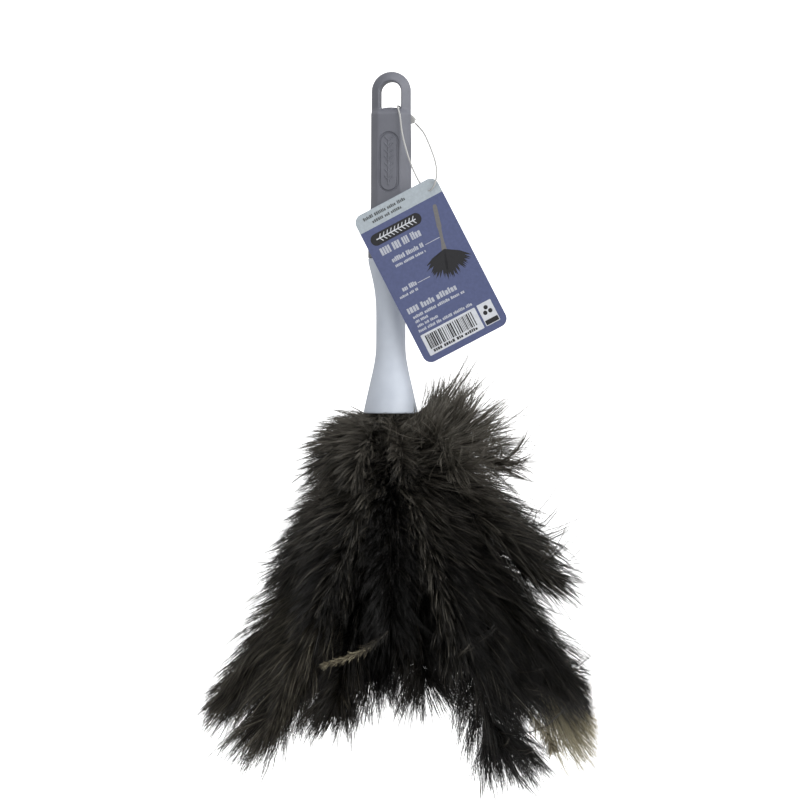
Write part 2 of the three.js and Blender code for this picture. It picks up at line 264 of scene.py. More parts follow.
def bump(material, height, strength, distance):
    made = node(material, "Bump", {"Height": height, "Strength": strength, "Distance": distance})
    plug(material, "Normal", made.outputs["Normal"])


def moulded_plastic(name, dark, light, roughness, grain, grain_depth):
    """Moulded plastic: faint mottling, a fine spark-eroded grain, and patchy gloss."""
    material = new_material(name, Specular_IOR_Level=0.5)
    tint(material, noise(material, 90, 5), (0.3, dark), (0.7, light))
    patches = {"Value": noise(material, 240, 4), "To Min": roughness - 0.06, "To Max": roughness + 0.08}
    gloss = node(material, "MapRange", patches)
    plug(material, "Roughness", gloss.outputs[0])
    bump(material, noise(material, grain, 2), 0.35, grain_depth)
    return material


def feather_material():
    """Barbs: each vertex carries how light it is (tone, with painted shade, painted light and painted
    highlights in it) and how far it has faded to straw (pale).
    """
    material = new_material("feather", Roughness=0.4, Specular_IOR_Level=0.45)
    tone = node(material, "Attribute", attribute_name="tone").outputs["Fac"]
    pale = node(material, "Attribute", attribute_name="pale").outputs["Fac"]
    blacks = [(0.0, (0.0018, 0.0016, 0.0013)), (0.45, (0.0085, 0.0074, 0.0058))]
    browns = [(0.8, (0.035, 0.032, 0.026)), (1.0, (0.115, 0.105, 0.086))]
    dark = ramp(material, tone, blacks + browns)
    straws = [(0.0, (0.03, 0.023, 0.012)), (0.5, (0.17, 0.14, 0.085)), (1.0, (0.6, 0.54, 0.37))]
    straw = ramp(material, tone, straws)
    blend = node(material, "Mix", data_type="RGBA")
    for socket, value in ((0, pale), (6, dark), (7, straw)):  # factor, and the two colours
        material.node_tree.links.new(value, blend.inputs[socket])
    plug(material, "Base Color", blend.outputs[2])
    return material


def plain_print(name, colour, roughness=0.4):
    """Ink on coated card, with the card's faint unevenness in it."""
    material = new_material(name, Roughness=roughness, Specular_IOR_Level=0.4)
    dark, light = (tuple(c * k for c in colour) for k in (0.93, 1.05))
    tint(material, noise(material, 700, 4), (0.35, dark), (0.65, light))
    return material


def nylon_material():
    material = new_material(
        "string_nylon",
        Base_Color=(0.5, 0.5, 0.49, 1),
        Roughness=0.35,
        Transmission_Weight=0.12,
        IOR=1.45,
    )
    bump(material, noise(material, 900, 2), 0.15, 0.0001)
    return material


def wood_material():
    material = new_material("rod_wood", Roughness=0.6)
    grain = noise(material, 260, 6, (1, 1, 0.06))
    tint(material, grain, (0.3, (0.42, 0.25, 0.12)), (0.7, (0.68, 0.47, 0.27)))
    return material


def steel_material():
    material = new_material("wire", Base_Color=(0.5, 0.5, 0.5, 1), Metallic=1.0, Roughness=0.35)
    bump(material, noise(material, 2500, 2), 0.2, 0.00005)
    return material


def glue_material():
    material = new_material("glue", Roughness=0.4, Subsurface_Weight=0.2)
    tint(material, noise(material, 120, 3), (0.3, (0.6, 0.52, 0.34)), (0.7, (0.78, 0.72, 0.54)))
    return material


GRIP_DARK, GRIP_LIGHT = (0.128, 0.133, 0.158), (0.152, 0.157, 0.184)
SLEEVE_DARK, SLEEVE_LIGHT = (0.5, 0.545, 0.62), (0.56, 0.605, 0.68)
GRIP_PLASTIC = moulded_plastic("grip_plastic", GRIP_DARK, GRIP_LIGHT, 0.5, 1900, 0.00012)
SLEEVE_PLASTIC = moulded_plastic("sleeve_plastic", SLEEVE_DARK, SLEEVE_LIGHT, 0.4, 900, 0.00003)
FEATHER = feather_material()
NYLON = nylon_material()
WOOD, STEEL, GLUE = wood_material(), steel_material(), glue_material()
INK_COLOURS = {
    "blue": (0.083, 0.101, 0.212),
    "header": (0.4, 0.45, 0.49),
    "black": (0.012, 0.012, 0.015),
    "white": (0.62, 0.64, 0.68),
    "text": (0.46, 0.48, 0.54),
    "grey": (0.09, 0.1, 0.105),
    "handle": (0.16, 0.155, 0.155),
}
INK = {name: plain_print("tag_" + name, colour) for name, colour in INK_COLOURS.items()}
CARD_CORE = plain_print("tag_core", (0.75, 0.75, 0.74), 0.7)


# ---- camera and cord
FRAME_WIDTH = 438.0  # how much the picture spans at the handle
LENS, SENSOR = 135.0, 36.0
AIM_RIGHT, AIM_Z = 5.1, -174.2  # the picture's middle, from the handle's axis
ROLL = 0.12  # degrees


def make_camera():
    turn = radians(VIEW_AZIMUTH)
    right = Vector((cos(turn), sin(turn), 0))
    back = direction(VIEW_AZIMUTH, VIEW_ELEVATION)
    target = right * AIM_RIGHT + Vector((0, 0, AIM_Z))
    data = bpy.data.cameras.new("camera")
    data.lens, data.sensor_width = LENS, SENSOR
    camera = new_object("camera", data)
    camera.location = (target + back * (FRAME_WIDTH * LENS / SENSOR)) * MM
    turned = back.to_track_quat("Z", "Y").to_matrix() @ Matrix.Rotation(radians(ROLL), 3, "Z")
    camera.rotation_euler = turned.to_euler()
    bpy.context.scene.camera = camera


# From the lock head behind the grip, out through the hanging hole, down the front of the grip, through
# the tag's hole from behind, and back up beside the grip to the lock head.
STRING_ROUTE = [
    (8.1, 7.6, -17.9), (6.2, 7.3, -15.6), (4.7, 6.2, -14.2), (4.3, 3.6, -13.6),
    (4.3, 0, -13.5), (4.3, -3.6, -13.6), (4.6, -6.6, -14.2), (5.4, -9, -16.2),
    (6.4, -10.1, -19.6), (7.3, -10.3, -27), (9.8, -10.8, -37.5), (12.2, -11.4, -44.6),
    (15.2, -12.2, -51.6), (18.8, -12.8, -57.6), (21.1, -13.3, -59.9), (23.2, -14.5, -60.8),
    (25.1, -15.8, -59.7), (26.8, -16.2, -56.3), (27.5, -15.7, -51.4), (26.7, -14, -46.2),
    (24.6, -10.6, -40.6), (21.4, -5.6, -34), (18.1, -0.4, -28.3), (14.9, 3.8, -24.7),
    (12.5, 6.3, -22.4),
]


def make_string():
    data = bpy.data.curves.new("swing_tag_string", "CURVE")
    data.dimensions = "3D"
    data.resolution_u = 10
    data.bevel_depth = STRING_DIAMETER / 2 * MM
    data.bevel_resolution = 4
    data.use_fill_caps = True
    spline = data.splines.new("BEZIER")
    spline.bezier_points.add(len(STRING_ROUTE) - 1)
    for point, place in zip(spline.bezier_points, STRING_ROUTE):
        point.co = Vector(place) * MM
        point.handle_left_type = point.handle_right_type = "AUTO"
    data.materials.append(NYLON)
    string = new_object("swing_tag_string", data)
    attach(string, "string_loop")
    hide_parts("tag_string")
    make_lock()


LOCK_LEAN = radians(48)
LOCK_HALF_WIDTH, LOCK_HALF_DEPTH, LOCK_HALF_LENGTH = 2.05, 1.35, 2.2
LOCK_SOFTNESS = 0.45  # 1 is an egg, and near 0 is a block with sharp edges


def make_lock():
    """The lock head: a small block with soft corners, and a collar at each end where the string enters."""
    low, high = (np.array(corner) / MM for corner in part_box("string_lock"))
    centre = (low + high) / 2
    along = np.array([-sin(LOCK_LEAN), 0, cos(LOCK_LEAN)])
    across = np.cross(along, [0, 1, 0])
    rows, columns = 25, 32
    turn = np.linspace(0, 2 * pi, columns, endpoint=False)
    points = []
    for t in np.linspace(0, pi, rows):
        girth = abs(sin(t)) ** 0.4
        for a in turn:
            wide, deep, tall = np.sign([cos(a), sin(a), cos(t)])
            wide *= LOCK_HALF_WIDTH * girth * abs(cos(a)) ** LOCK_SOFTNESS
            deep *= LOCK_HALF_DEPTH * girth * abs(sin(a)) ** LOCK_SOFTNESS
            tall *= LOCK_HALF_LENGTH * abs(cos(t)) ** LOCK_SOFTNESS
            points.append(centre + across * wide + np.array([0, deep, 0]) + along * tall)
    collars = []
    for sign in (-1, 1):
        path = [centre + sign * along * s for s in (1.9, 2.3, 2.7)]
        collars.append(tube(path, (0.75, 0.72, 0.6), 14))
    piece = mesh_object("lock_head", points, grid_faces(rows, columns), [NYLON])
    weld(piece)
    collar = mesh_object("lock_collar", *merged(collars), [NYLON])
    for part in (piece, collar):
        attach(part, "string_loop")
    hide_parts("string_lock")
    collar.parent = piece
    collar.matrix_parent_inverse = Matrix.Identity(4)
    return piece


# ---- grip
def grip_radius(z, angles):
    """The grip's radius at height z for each angle: eight-sided with soft edges, round at the shoulder."""
    to_pad = smooth(z, HOLE_BOTTOM + 0.6, HOLE_BOTTOM - 3.6)
    to_back = smooth(z, HOLE_BOTTOM + 0.5, HOLE_BOTTOM - 22)
    to_shoulder = smooth(z, -62, SPLIT_Z + 2)
    front = mix(LOOP_HALF_DEPTH, PAD_DEPTH, to_pad)
    back = mix(LOOP_HALF_DEPTH, BACK_DEPTH, to_back)
    width = mix(GRIP_HALF_WIDTH + 0.18, SHOULDER_RADIUS, smooth(z, -68, SPLIT_Z + 3))
    sides = [(0, width), (180, width), (-90, front), (90, back)]
    bevels = ((-1, front, PAD_HALF_WIDTH, PAD_FALL), (1, back, BACK_HALF_WIDTH, BACK_FALL))
    for sign, depth, flat, fall in bevels:
        fall = min(fall, depth - 0.8)
        normal = np.array([fall, width - flat]) / hypot(fall, width - flat)
        offset = normal @ (flat, depth)
        slope = degrees(atan2(normal[1], normal[0]))
        sides += [(sign * slope, offset), (180 - sign * slope, offset)]
    total = 0
    for facing, offset in sides:
        total = total + np.clip(np.cos(angles - radians(facing)) / offset, 0, None) ** EDGE_SHARPNESS
    return mix(total ** (-1 / EDGE_SHARPNESS), SHOULDER_RADIUS, to_shoulder)


def grip_blank():
    """The grip before it is cut: a stack of sections, and half a turn of the top one for the loop's end."""
    columns = 176
    angles = full_turn(columns) - pi / 2
    centre = GRIP_TOP - GRIP_HALF_WIDTH
    edge_z = SPLIT_Z + 0.55  # where the lower edge starts to round over
    rows = [level_ring(grip_radius(z, angles), angles, z) for z in np.linspace(centre, edge_z, 220)]
    for drop, inset in ((0.32, 0.05), (0.4, 0.14), (0.45, 0.3), (0.45, 3.1)):
        rows.append(level_ring(grip_radius(SPLIT_Z, angles) - inset, angles, edge_z - drop))
    for z in (SPLIT_Z + 0.1, SPLIT_Z - SPIGOT_LENGTH):
        rows.append(level_ring(SPIGOT_RADIUS, angles, z))
    faces = grid_faces(len(rows), columns) + end_faces(len(rows), columns)[1:]
    half = columns // 2 + 1
    rim = rows[0][:half]
    dome = []
    for a in np.linspace(0, pi, 120):
        dome.append(np.stack([rim[:, 0] * cos(a), rim[:, 1], centre + rim[:, 0] * sin(a)], 1))
    dome_faces = grid_faces(len(dome), half, closed=False)
    return merged([(np.concatenate(rows), faces), (np.concatenate(dome), dome_faces)])


def hole_outline(grow):
    """The hanging hole's outline in X and Z, grown outwards: round top, crowned floor, small corners."""
    w, corner = HOLE_HALF_WIDTH + grow, 1.4 + grow
    bottom = HOLE_BOTTOM - grow
    arch = [(w * cos(a), -HOLE_HALF_WIDTH + w * sin(a)) for a in np.linspace(0, pi, 48)]
    left = [(-w, z) for z in np.linspace(-7, bottom + corner, 8)]
    turn = np.linspace(pi, 1.5 * pi, 8)
    left += [(-w + corner + corner * cos(a), bottom + corner + corner * sin(a)) for a in turn[1:]]
    run = w - corner
    floor = [(x, bottom + 0.5 * (1 - (x / run) ** 2)) for x in np.linspace(-run, run, 16)[1:-1]]
    right = [(-x, z) for x, z in left[::-1]]
    return np.array(arch + left + floor + right)


def hole_cutter():
    """A plug the shape of the hanging hole, flared with a quarter round at both faces."""
    ease = 1.1
    stations = [(-14, ease)]
    for a in np.linspace(0, pi / 2, 7):
        stations.append((-LOOP_HALF_DEPTH + ease * (1 - cos(a)), ease * (1 - sin(a))))
    stations += [(-y, grow) for y, grow in stations[::-1]]
    rows = []
    for y, grow in stations:
        outline = hole_outline(grow)
        rows.append(np.stack([outline[:, 0], np.full(len(outline), y), outline[:, 1]], 1))
    count = len(rows[0])
    faces = grid_faces(len(rows), count) + end_faces(len(rows), count)
    return mesh_object("hole_cutter", np.concatenate(rows), faces, [])


def oval_groove():
    """A round-bottomed groove along the oval on the front of the grip."""
    r = OVAL_WIDTH / 2 - 0.55
    straight = OVAL_HEIGHT / 2 - 0.55 - r
    arc = np.linspace(0, pi, 40)
    path = [(r * cos(a), -PAD_DEPTH, OVAL_Z + straight + r * sin(a)) for a in arc]
    path += [(-r * cos(a), -PAD_DEPTH, OVAL_Z - straight - r * sin(a)) for a in arc]
    return mesh_object("groove_cutter", *tube(path, 0.75, 14, closed=True), [])


def feather_mark(length, reach, ticks, radius):
    """Tubes of a plain feather mark in the XZ plane: a rib, and ticks that slant up from it."""
    parts = [tube([(0, 0, z) for z in np.linspace(-length / 2, length / 2, 12)], radius, 10)]
    steps = np.linspace(0, 1, 7)
    for i in range(ticks):
        z = -length / 2 + (i + 0.7) * length / ticks
        for side in (-1, 1):
            path = [(side * reach * t, 0, z + reach * (1.35 * t - 0.25 * t * t)) for t in steps]
            parts.append(tube(path, radius * np.linspace(1, 0.7, 7), 10))
    return parts


def make_grip():
    grip = mesh_object("duster_grip", *grip_blank(), [GRIP_PLASTIC])
    weld(grip)
    carve(grip, hole_cutter())
    carve(grip, oval_groove())
    shade(grip.data, 38)
    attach(grip, "duster")
    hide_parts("grip")
    parts = [(p + np.array([0, -PAD_DEPTH, OVAL_Z]), f) for p, f in feather_mark(25, 2.3, 7, 0.45)]
    mark = mesh_object("grip_mark", *merged(parts), [GRIP_PLASTIC])
    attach(mark, "duster")


# ---- sleeve and the parts inside it
SLEEVE_OUTLINE = [
    (SHOULDER_RADIUS, SPLIT_Z - 0.15), (12.1, -100), (10.2, -107.8), (8.8, -115.5),
    (8.15, -124), (8.05, -136), (8.25, -148), (9.5, -156.5),
    (11.6, -166), (13.5, -174.5), (MOUTH_RADIUS, MOUTH_Z),
]


def spline(points, steps):
    """Points along a Catmull-Rom curve through the given ones."""
    p = np.asarray(points, float)
    p = np.concatenate([[2 * p[0] - p[1]], p, [2 * p[-1] - p[-2]]])
    at = np.linspace(0, len(points) - 1 - 1e-9, steps)
    i = at.astype(int)
    t = (at - i)[:, None]
    a, b, c, d = p[i], p[i + 1], p[i + 2], p[i + 3]
    return 0.5 * (2 * b + (c - a) * t + (2 * a - 5 * b + 4 * c - d) * t**2 + (3 * b - a - 3 * c + d) * t**3)


def make_sleeve():
    outer = spline(SLEEVE_OUTLINE, 110)
    outer[0] = (SHOULDER_RADIUS - 0.35, SPLIT_Z - 0.15)
    eased = [(SHOULDER_RADIUS - 0.1, SPLIT_Z - 0.3), (SHOULDER_RADIUS, SPLIT_Z - 0.6)]
    lip = []
    for a in np.linspace(0.2, pi, 9):
        lip.append((MOUTH_RADIUS - 0.75 + 0.75 * cos(a), MOUTH_Z - 0.1 - 0.55 * sin(a)))
    inner = outer[::-1][4:-6] - np.array([SLEEVE_WALL, 0])
    inner = inner[inner[:, 1] < SOCKET_Z - 2]
    socket = [(SOCKET_RADIUS, SOCKET_Z), (SOCKET_RADIUS, SPLIT_Z - 0.15)]
    profile = np.concatenate([outer[:1], eased, outer[4:-1], lip, inner, socket])
    columns = 144
    rows = [level_ring(r, full_turn(columns), z) for r, z in profile]
    rows.append(rows[0])
    faces = grid_faces(len(rows), columns)
    sleeve = mesh_object("duster_sleeve", np.concatenate(rows), faces, [SLEEVE_PLASTIC])
    weld(sleeve)
    shade(sleeve.data, 40)
    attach(sleeve, "duster")
    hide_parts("sleeve")


def dress_inner_parts():
    looks = {"core_rod": WOOD, "glue_plug": GLUE}
    looks.update({n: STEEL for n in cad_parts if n.startswith("binding_wire")})
    for name, material in looks.items():
        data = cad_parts[name].data
        data.materials.clear()
        data.materials.append(material)


# ---- swing tag
TAG_CENTRE = sum(np.array(corner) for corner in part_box("tag_card")) / 2 / MM


def tag_place(points):
    """Puts points given right, down and out from the card's top left corner in the part's own frame."""
    p = np.asarray(points, float)
    right = p[:, 0] - TAG_WIDTH / 2
    down = p[:, 1] - TAG_HEIGHT / 2
    a = radians(TAG_TILT)
    x = right * cos(a) + down * sin(a)
    z = right * sin(a) - down * cos(a)
    return np.stack([TAG_CENTRE[0] + x, TAG_CENTRE[1] - p[:, 2], TAG_CENTRE[2] + z], 1)


def rounded(x0, y0, x1, y1, r, steps=6):
    """A rectangle with round corners, as an outline."""
    r = min(r, (x1 - x0) / 2 - 1e-3, (y1 - y0) / 2 - 1e-3)
    corners = [(x1 - r, y0 + r, -90), (x1 - r, y1 - r, 0), (x0 + r, y1 - r, 90), (x0 + r, y0 + r, 180)]
    outline = []
    for cx, cy, start in corners:
        for a in np.radians(np.linspace(start, start + 90, steps)):
            outline.append((cx + r * cos(a), cy + r * sin(a)))
    return outline


def plate(outline, low, high):
    """A flat closed plate with that outline, from depth low to high."""
    count = len(outline)
    points = [(x, y, low) for x, y in outline] + [(x, y, high) for x, y in outline]
    faces = [tuple(range(count)), tuple(range(2 * count - 1, count - 1, -1))]
    faces += [(i, count + i, count + (i + 1) % count, (i + 1) % count) for i in range(count)]
    return points, faces


def tag_piece(name, plates, material):
    points, faces = merged(plates)
    piece = mesh_object(name, tag_place(points), faces, [material], 30)
    weld(piece, 0.0005)
    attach(piece, "tag")
    return piece


# How far the card's face and each kind of ink on it stand off the middle of the card.
CARD_FACE = 0.2
HEADER_TOP, PANEL_TOP, LINE_TOP, WORD_TOP, BAR_TOP, MARK_TOP = 0.215, 0.22, 0.23, 0.235, 0.24, 0.25


def words(x0, x1, y0, y1, glyph, rng):
    """A line of greeked words: plain uneven blocks with gaps between words."""
    plates, x = [], x0
    left = int(rng.integers(3, 8))
    while x + glyph <= x1 + 0.01:
        wide = glyph * rng.uniform(0.5, 0.86)
        top = y0 + (y1 - y0) * (0.22 if rng.random() < 0.35 else 0)
        plates.append(plate(rounded(x, top, x + wide, y1, 0.1, 3), CARD_FACE, WORD_TOP))
        left -= 1
        x += wide + glyph * (0.2 if left else 0.9)
        left = left or int(rng.integers(3, 8))
    return plates


def card_faces():
    """The card: a thin plate with round corners and a round hole."""
    outline = rounded(0, 0, TAG_WIDTH, TAG_HEIGHT, TAG_CORNER, 12)
    count = len(outline)
    hx, hy = TAG_WIDTH - TAG_HOLE_FROM_RIGHT, TAG_HOLE_FROM_TOP
    ring = []
    for x, y in outline:
        a = atan2(y - hy, x - hx)
        ring.append((hx + TAG_HOLE_RADIUS * cos(a), hy + TAG_HOLE_RADIUS * sin(a)))
    points, faces = [], []
    for loop, side in ((outline, 1), (ring, 1), (ring, -1), (outline, -1)):
        points += [(x, y, side * CARD_FACE) for x, y in loop]
    for k in range(4):
        a, b = k * count, (k + 1) % 4 * count
        faces += [(a + i, a + (i + 1) % count, b + (i + 1) % count, b + i) for i in range(count)]
    return points, faces


def make_tag_board():
    points, faces = card_faces()
    card = mesh_object("tag_board", tag_place(points), faces, [INK["blue"], CARD_CORE], 30)
    weld(card, 0.0005)
    for face in card.data.polygons:
        face.material_index = 0 if abs(face.normal.y) > 0.5 else 1
    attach(card, "tag")
    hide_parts("tag_card")


def make_tag_header(rng):
    """The pale band, with two lines of dark words. It has no hole of its own, so it covers the card's."""
    edge, low = 0.05, 9.6
    band = [p for p in rounded(edge, edge, TAG_WIDTH - edge, 20, TAG_CORNER, 12) if p[1] < low]
    band += [(edge, low), (TAG_WIDTH - edge, low)]
    band.sort(key=lambda p: atan2(p[1] - 5, p[0] - 25))
    tag_piece("tag_header_band", [plate(band, CARD_FACE, HEADER_TOP)], INK["header"])
    dark = words(5, 31, 2.5, 4.3, 1.15, rng) + words(9, 27.5, 5.8, 7.4, 1.15, rng)
    tag_piece("tag_small_print", dark, INK["grey"])


def make_tag_pill():
    """A dark pill with a plain feather mark lying in it."""
    pill = rounded(3.3, 12.9, 34, 19.5, 3.3, 12)
    tag_piece("tag_pill", [plate(pill, CARD_FACE, PANEL_TOP)], INK["black"])
    middle, reach = 16.2, 2.1
    mark = [plate(rounded(6.5, middle - 0.3, 30.8, middle + 0.3, 0.3, 5), PANEL_TOP, MARK_TOP)]
    for i in range(10):
        x = 8.2 + i * 2.25
        for sign in (-1, 1):
            end = middle + sign * reach
            slant = [(x, middle), (x + 0.55, middle), (x + 2.0, end), (x + 1.45, end)]
            mark.append(plate(slant[::sign], PANEL_TOP, MARK_TOP - 0.001))
    tag_piece("tag_pill_mark", mark, INK["white"])


# Each line of pale words on the card: left, right, top and bottom, and the width of one block.
TAG_LINES = [
    (5.5, 30.6, 21.4, 25.6, 1.75),
    (9, 28.4, 29, 31.5, 1.25),
    (9.3, 28.8, 33.2, 34.6, 1.05),
    (6.7, 15.6, 45.6, 48.1, 1.25),
    (3.5, 15.6, 49.6, 51, 1.05),
    (3.8, 34.4, 57.4, 60.6, 2.0),
    (5, 37, 62.4, 64, 1.15),
    (5, 13.3, 65.2, 66.6, 1.05),
    (5, 18.8, 67.8, 69.2, 1.05),
    (4.4, 37, 70.4, 72, 1.1),
]


def make_tag_text(rng):
    """Pale words, and two thin lines that lead from words to the picture."""
    pale = []
    for line in TAG_LINES:
        pale += words(*line, rng)
    for left, right, top in ((29, 37.8, 30.9), (15.9, 23.5, 47.3)):
        low = top + 0.35
        pale.append(plate([(left, top), (right, top), (right, low), (left, low)], CARD_FACE, LINE_TOP))
    tag_piece("tag_white_print", pale, INK["text"])


def make_tag_boxes(rng):
    """A pale box of bars of random width, and a smaller one with three plain dots."""
    boxes = [rounded(4, 73.6, 37.2, 86, 0.4, 4), rounded(38.5, 73.4, 46.9, 85.9, 0.4, 4)]
    tag_piece("tag_white_boxes", [plate(box, CARD_FACE, PANEL_TOP) for box in boxes], INK["white"])
    dark, x, unit_width = [], 6.0, 0.27
    while x < 35:
        wide = unit_width * int(rng.integers(1, 4))
        dark.append(plate([(x, 74.8), (x + wide, 74.8), (x + wide, 82.8), (x, 82.8)], PANEL_TOP, BAR_TOP))
        x += wide + unit_width * int(rng.integers(1, 4))
    dark += words(7, 34, 83.4, 85, 1.5, rng)
    dark.append(plate(rounded(38.9, 82.9, 46.5, 85.5, 0.3, 4), PANEL_TOP, BAR_TOP))
    turn = np.linspace(0, 2 * pi, 25)[:-1]
    for k in range(3):
        a = radians(90 + 120 * k)
        x, y = 42.7 + 1.75 * cos(a), 78.1 - 1.75 * sin(a)
        dot = [(x + 1.2 * cos(t), y + 1.2 * sin(t)) for t in turn]
        dark.append(plate(dot, PANEL_TOP, BAR_TOP))
    tag_piece("tag_black_print", dark, INK["black"])


def make_tag_picture(rng):
    """The little picture of a duster on the tag: a slim handle and a ragged dark fan."""
    top, low = np.array([43.4, 13.9]), np.array([36.9, 38.8])
    along = unit(low - top)
    across = np.array([-along[1], along[0]])
    length = np.linalg.norm(low - top)
    girth = [(0, 0.5), (0.6, 1.05), (2, 1.2), (10, 1.25), (12, 1.35), (14, 0.9), (20, 0.85), (length, 1.5)]
    outline = [top + along * s - across * w for s, w in girth]
    outline += [top + along * s + across * w for s, w in girth[::-1]]
    handle = plate([tuple(p) for p in outline], CARD_FACE, 0.225)
    tag_piece("tag_picture_handle", [handle], INK["handle"])
    narrow, wide = 0.4, 0.9  # half a blade's width, at its root and at its widest
    blades = []
    for i in range(90):
        a = mix(-1.25, 1.15, rng.random())
        reach = 16.5 * (1 - 0.1 * abs(a)) * mix(0.8, 1.05, rng.random())
        way = along * cos(a) + across * sin(a)
        way[1] = way[1] * 0.85 + 0.12
        side = np.array([-way[1], way[0]])
        root = low - along * 0.6
        waist = root + way * reach * 0.6
        tip = root + way * reach
        blade = [root - side * narrow, waist - side * wide, tip, waist + side * wide, root + side * narrow]
        blades.append(plate([tuple(p) for p in blade], CARD_FACE, 0.226 + 0.0002 * i))
    tag_piece("tag_picture_plumes", blades, INK["black"])


def make_tag():
    rng = np.random.default_rng(5)
    make_tag_board()
    make_tag_header(rng)
    make_tag_pill()
    make_tag_text(rng)
    make_tag_boxes(rng)
    make_tag_picture(rng)


# ---- plumes
# How each tier grows. bend, swell and crest shape the shaft's arch, as in the design. spacing is the
# distance between barbs along one side of the shaft, barb the longest barb, lift how far barbs stand off
# the outside of the vane, and tone how much lighter they are than the feathers around them.
TIERS = {
    "top": dict(bend=13, swell=0.86, crest=0.16, spacing=0.055, barb=23, lift=0.45, tone=0.05),
    "upper": dict(bend=27, swell=0.64, crest=0.5, spacing=0.068, barb=30, lift=0.5, tone=0.0),
    "long": dict(bend=44, swell=0.62, crest=0.58, spacing=0.07, barb=40, lift=0.3, tone=0.0),
    "core": dict(bend=62, swell=0.8, crest=0.66, spacing=0.075, barb=36, lift=0.2, tone=-0.12),
}
SHAFT_SHARE = 0.85  # how much of the plume's length has a shaft; the rest is barbs alone
LOCK_SIZE = 7  # barbs that grow together and cling to one another
BARB_STEPS = 5  # straight stretches in one barb
BARB_GIRTH = 0.15
# How steeply barbs lie at each depth below the mouth, in degrees below level.
FLOW_DEPTHS = (-5, 15, 45, 80, 110, 140, 170, 200)
FLOW_PITCHES = (-26, -10, 9, 21, 34, 53, 66, 78)
# How light barbs are at each of those depths, and how much painted shade darkens them in the hollow front of
# the bell.
TONES = (0.96, 0.95, 0.76, 0.46, 0.36, 0.34, 0.34, 0.34)
HOLLOW_SHADE = 0.72
HOLLOW_SHADE_AZIMUTH = 284
WINDBLOWN = 58  # how much higher barbs lie near the mouth on the right-hand side, in degrees


def plume_shaft(name, tier):
    """Points along a plume's shaft, from its quill in the sleeve to its tip, with the frame at each point."""
    points = np.array([v.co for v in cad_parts[name].data.vertices]) / MM
    quill = points[points[:, 2] > points[:, 2].max() - 1].mean(0)
    away = np.linalg.norm(points - quill, axis=1)
    tip = points[away > away.max() - 1.5].mean(0)
    turns = [atan2(p[1], p[0]) for p in (quill, tip)]
    turns[1] = turns[0] + (turns[1] - turns[0] + pi) % (2 * pi) - pi
    ring, reach, drop = hypot(*quill[:2]), hypot(*tip[:2]), MOUTH_Z - tip[2]
    a = np.array((ring, MOUTH_Z))
    b = np.array((ring + 1, MOUTH_Z - tier["bend"]))
    c = np.array((tier["swell"] * reach, MOUTH_Z - tier["crest"] * drop))
    d = np.array((reach, MOUTH_Z - drop))
    t = np.linspace(0, 1, 60)[:, None]
    arch = (1 - t) ** 3 * a + 3 * (1 - t) ** 2 * t * b + 3 * (1 - t) * t**2 * c + t**3 * d
    turn = mix(turns[0], turns[1], smooth(arch[:, 0] / reach, 0, 0.8))
    path = np.stack([arch[:, 0] * np.cos(turn), arch[:, 0] * np.sin(turn), arch[:, 1]], 1)
    rise = np.linspace(quill[2], MOUTH_Z + 1, 8)
    straight = np.stack([np.full(8, quill[0]), np.full(8, quill[1]), rise], 1)
    path = np.concatenate([straight, path])
    ahead = unit(np.gradient(path, axis=0))
    side = unit(np.stack([-path[:, 1], path[:, 0], np.zeros(len(path))], 1))
    side = unit(side - (side * ahead).sum(1, keepdims=True) * ahead)
    along = np.concatenate([[0], np.cumsum(np.linalg.norm(np.diff(path, axis=0), axis=1))])
    shaft = {"path": path, "ahead": ahead, "side": side, "out": np.cross(ahead, side), "along": along}
    shaft["bare"] = along[len(straight)]
    shaft["end"] = along[-1] * SHAFT_SHARE
    return shaft


def sample(shaft, distance):
    """The shaft's point and frame at each distance along it."""
    found = {}
    for key in ("path", "ahead", "side", "out"):
        columns = [np.interp(distance, shaft["along"], shaft[key][:, k]) for k in range(3)]
        found[key] = np.stack(columns, 1)
    for key in ("ahead", "side", "out"):
        found[key] = unit(found[key])
    return found


def flow(points, droop, rise):
    """The way barbs lie at each point: out from the axis, steeper further down. Also how windblown they are
    there, which is also where they are lightened with painted light, and how loosely their locks stand apart."""
    depth = MOUTH_Z - points[:, 2]
    out = unit(points * [1, 1, 0])
    windblown_and_lit = smooth(out[:, 0], 0.1, 0.75) * smooth(depth, 36, 8)
    front = mix(4, 24, smooth(depth, 18, 4)) * (1 - np.abs(out[:, 0]))
    pitch = np.interp(depth, FLOW_DEPTHS, FLOW_PITCHES) + droop + front - WINDBLOWN * windblown_and_lit * rise
    pitch = np.radians(pitch)[:, None]
    loose = np.maximum(windblown_and_lit, smooth(out[:, 0], 0.5, 0.95) * smooth(depth, 140, 90))
    return out * np.cos(pitch) - UP * np.sin(pitch), windblown_and_lit, loose


def tones(points):
    """How light barbs are where they grow: lighter near the mouth, and darkest in the bell's hollow front,
    where shade is painted on.
    """
    depth = MOUTH_Z - points[:, 2]
    out = unit(points * [1, 1, 0])
    a = radians(HOLLOW_SHADE_AZIMUTH)
    hollow_shade = smooth(out @ [cos(a), sin(a), 0], 0.62, 0.97)
    # painted shade: barbs darkened in the hollow front of the bell
    return np.interp(depth, FLOW_DEPTHS, TONES) - HOLLOW_SHADE * hollow_shade * smooth(depth, 16, 40)


def trimmed(paths):
    """Barbs cut back to the room that the plumes have, so that none reaches far past the design."""
    low, high = (np.array(corner) / MM for corner in CAD_BOX)
    spare = 6 + 0.012 * (high - low)
    rows, count = np.arange(len(paths))[:, None], paths.shape[1]
    for _ in range(3):
        tip, root = paths[:, -1], paths[:, 0]
        over = np.maximum(tip - high - spare, low - spare - tip)
        share = 1 - np.clip(over / np.maximum(np.abs(tip - root), 1), 0, 0.9).max(1)
        at = share[:, None] * np.arange(count)[None]
        i = np.minimum(at.astype(int), count - 2)
        paths = mix(paths[rows, i], paths[rows, i + 1], (at - i)[:, :, None])
    return paths


